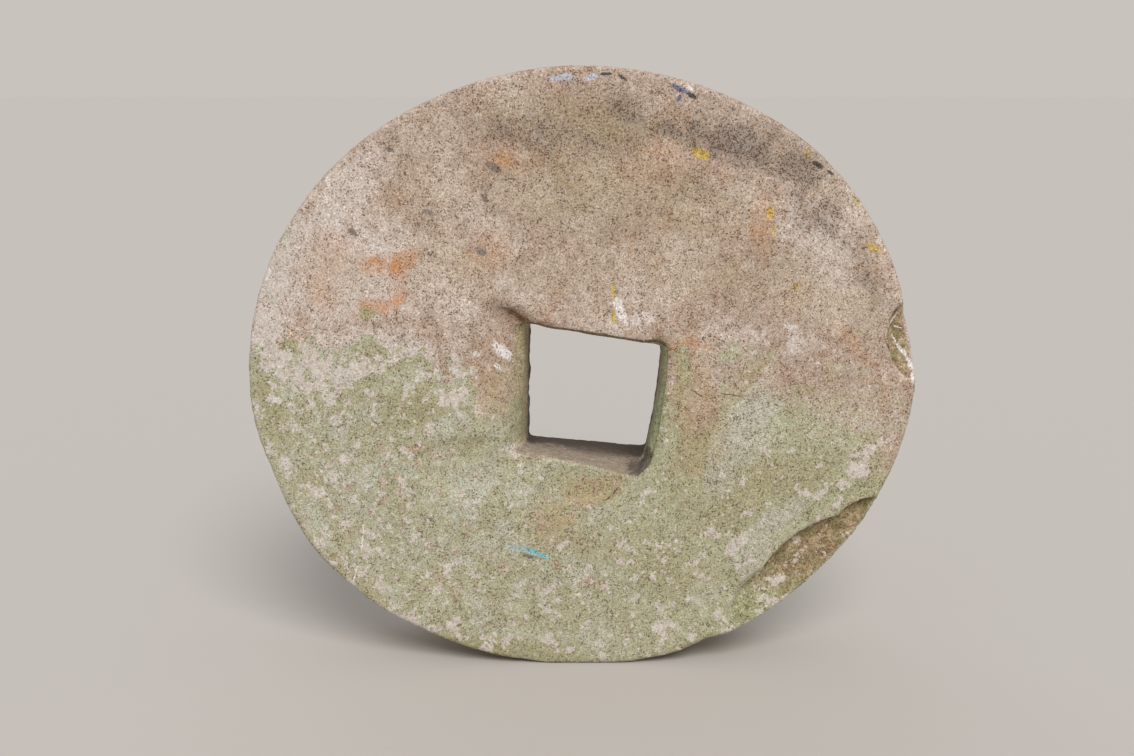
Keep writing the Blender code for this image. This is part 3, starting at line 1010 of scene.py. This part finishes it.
def growth(net, tone, colour):
    """Green algae between the grains, then crusts of pale lichen over it."""
    ragged = net.total(
        (0.62, tone.ragged), (0.18, tone.cloud), (0.10, tone.chance[0]), (0.10, tone.medium)
    )
    islands = net.patches(net.coat("algae"), ragged, 0.09)
    film = net.patches(net.coat("algae"), net.total((0.7, tone.soft), (0.3, tone.chance[0])), 0.35)
    film = net.math("MULTIPLY", film, 0.85)
    share = net.math("MULTIPLY", net.coat("film"), 0.85)
    algae = net.node("Mix", {0: share, 2: islands, 3: film}).outputs[0]
    algae = net.math("MULTIPLY", algae, net.step(net.coat("eye_floor"), 0.1, 0.6, 1.0, 0.12))
    green = net.mix(net.step(tone.cloud, 0.30, 0.95), COLOURS["sage"], COLOURS["mint"])
    green = net.mix(net.step(tone.blotch, 0.45, 0.0, 0.0, 0.6), green, COLOURS["olive"])
    green = net.mix(net.math("MULTIPLY", net.coat("film"), 0.65), green, COLOURS["leaf"])
    green = net.mix(net.patches(net.coat("mint"), tone.soft, 0.4), green, COLOURS["mint"])
    green = net.mix(net.patches(net.coat("olive"), tone.soft, 0.4), green, COLOURS["olive"])
    thick = net.step(tone.sand, 0.1, 0.9, 0.62, 0.92)
    colour = net.mix(net.math("MULTIPLY", algae, thick), colour, green)
    colour = net.mix(soaked(net, tone, "ochre", 0.78), colour, COLOURS["ochre"])
    lichen = net.patches(net.coat("lichen"), tone.lobed, 0.06)
    shade = net.mix(tone.blotch, COLOURS["lichen"], COLOURS["grey lichen"])
    crust = net.math("MULTIPLY", lichen, net.step(tone.medium, 0.0, 0.5, 0.66, 0.96))
    return net.mix(crust, colour, shade), lichen


def dirt(net, tone, colour):
    """Soot, moss, cobwebs and painted shade in the breaks and the eye, and painted highlight on
    edges.
    """
    sooty = net.total((0.55, tone.blotch), (0.45, tone.soft))
    soot = net.patches(net.math("MULTIPLY", net.coat("soot"), 0.66), sooty, 0.35)
    colour = net.mix(net.math("MULTIPLY", soot, 0.55), colour, COLOURS["soot"])
    # Moss with painted shade under the spall's edge
    moss_and_shade = net.patches(net.coat("moss_and_shade_under_arris"), tone.soft, 0.30)
    colour = net.mix(net.math("MULTIPLY", moss_and_shade, 0.36), colour, COLOURS["moss_and_shade"])
    # Cobwebs, with painted shade in the eye's corners
    threads = net.total((0.6, tone.fine), (0.4, tone.chance[2]))
    cobweb_and_shade = net.patches(net.coat("cobweb_and_shade"), threads, 0.3)
    colour = net.mix(net.math("MULTIPLY", cobweb_and_shade, 0.85), colour, COLOURS["cobweb_and_shade"])
    # Painted shade, darker towards the back of the eye
    cloudy = net.math("MULTIPLY", net.math("SUBTRACT", tone.soft, 0.5), 0.5)
    deep = net.step(net.math("ADD", net.coat("deep"), cloudy), 0.0, 1.0)
    deep = net.math("MULTIPLY", deep, net.step(net.coat("deep"), 0.0, 0.1, 0.0, 0.96))
    colour = net.mix(deep, colour, COLOURS["painted deep shade"])
    # Painted highlight makes the edges paler
    return net.mix(net.math("MULTIPLY", net.coat("painted_edge_highlight"), 0.14), colour, COLOURS["lilac"]), soot


def grained(net, tone, colour, lichen, soot):
    """Tints the single grains: the darker ones lie in clumps, and a crust or dust hides them."""
    clumped = net.total((1.0, tone.chance[1]), (0.28, tone.medium), (-0.14, 1.0), (-0.18, soot))
    dusty = net.math("MULTIPLY", net.coat("eye_floor"), 0.45)
    hidden = net.math("MAXIMUM", net.math("MULTIPLY", lichen, 0.40), dusty)
    colour = net.mix(net.math("SUBTRACT", 1.0, hidden), colour, grain_ramp(net, clumped), "MULTIPLY")
    sandy = net.step(tone.sand, 0.0, 1.0, 0.90, 1.10)
    shade = net.math("MULTIPLY", sandy, net.step(tone.fine, 0.0, 1.0, 0.95, 1.05))
    shades = net.node("CombineColor", {0: shade, 1: shade, 2: shade}).outputs[0]
    return net.mix(1.0, colour, shades, "MULTIPLY")


def sandstone():
    """The material of the whole stone, which the coats of its mesh steer."""
    material = bpy.data.materials.new("weathered_sandstone")
    material.use_nodes = True
    tree = material.node_tree
    tree.nodes.clear()
    net = Net(tree)
    tone = Patterns(net, net.node("TexCoord").outputs["Object"])
    colour = bare_stone(net, tone)
    colour = inside_eye(net, tone, colour)
    colour, lichen = growth(net, tone, colour)
    colour, soot = dirt(net, tone, colour)
    speckled = net.total((0.5, tone.fine), (0.5, tone.chance[2]))
    yellow = net.patches(net.coat("yellow"), speckled, 0.35)
    colour = net.mix(net.math("MULTIPLY", yellow, 0.85), colour, COLOURS["yellow"])
    colour = marks(net, tone, colour)
    colour = grained(net, tone, colour, lichen, soot)

    height = net.total(
        (-0.5, tone.grains.outputs["Distance"]), (0.3, tone.sand), (0.3, tone.fine), (0.4, lichen)
    )
    inputs = {"Height": height, "Strength": BUMP_STRENGTH, "Distance": BUMP_DEPTH * MM}
    bump = net.node("Bump", inputs).outputs["Normal"]
    rough = net.step(tone.fine, 0.0, 1.0, 0.84, 0.97)
    inputs = {
        "Base Color": colour,
        "Roughness": rough,
        "Specular IOR Level": 0.25,
        "Normal": bump,
    }
    shader = net.node("BsdfPrincipled", inputs)
    net.node("OutputMaterial", {"Surface": shader.outputs[0]})
    return material


def matt_material(name, colour):
    material = bpy.data.materials.new(name)
    material.use_nodes = True
    shader = material.node_tree.nodes["Principled BSDF"]
    shader.inputs["Base Color"].default_value = (*colour, 1.0)
    shader.inputs["Roughness"].default_value = 1.0
    shader.inputs["Specular IOR Level"].default_value = 0.0
    return material


def floor():
    bpy.ops.mesh.primitive_circle_add(vertices=96, radius=FLOOR_RADIUS, fill_type="NGON")
    obj = bpy.context.object
    obj.name = "floor"
    obj.data.materials.append(matt_material("pale_floor", FLOOR_COLOUR))


def sun(name, source, strength, softness, colour=(1.0, 1.0, 1.0)):
    """Even soft light that comes from this direction; the softness is its width in degrees."""
    data = bpy.data.lights.new(name, "SUN")
    data.energy = strength
    data.angle = math.radians(softness)
    data.color = colour
    obj = bpy.data.objects.new(name, data)
    obj.rotation_euler = Vector(source).to_track_quat("Z", "Y").to_euler()
    bpy.context.scene.collection.objects.link(obj)


def sky():
    """Soft light from all round, as bright at the horizon as the far floor."""
    world = bpy.data.worlds.new("studio")
    world.use_nodes = True
    net = Net(world.node_tree)
    up = net.node("SeparateXYZ", {0: net.node("TexCoord").outputs["Generated"]}).outputs[2]
    colour = net.mix(net.step(up, 0.05, 0.60), HORIZON_COLOUR, OVERHEAD_COLOUR)
    background = world.node_tree.nodes["Background"]
    world.node_tree.links.new(colour, background.inputs["Color"])
    bpy.context.scene.world = world


def main():
    bpy.context.scene.view_settings.view_transform = "Standard"
    camera()
    sun("key", KEY_FROM, KEY_STRENGTH, KEY_SOFTNESS, KEY_COLOUR)
    sun("back", BACK_FROM, BACK_STRENGTH, BACK_SOFTNESS)
    sky()
    floor()
    stone = carved_stone(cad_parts[NODE])
    stone.data.materials.append(sandstone())
    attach(stone, BODY)
    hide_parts(NODE)


main()
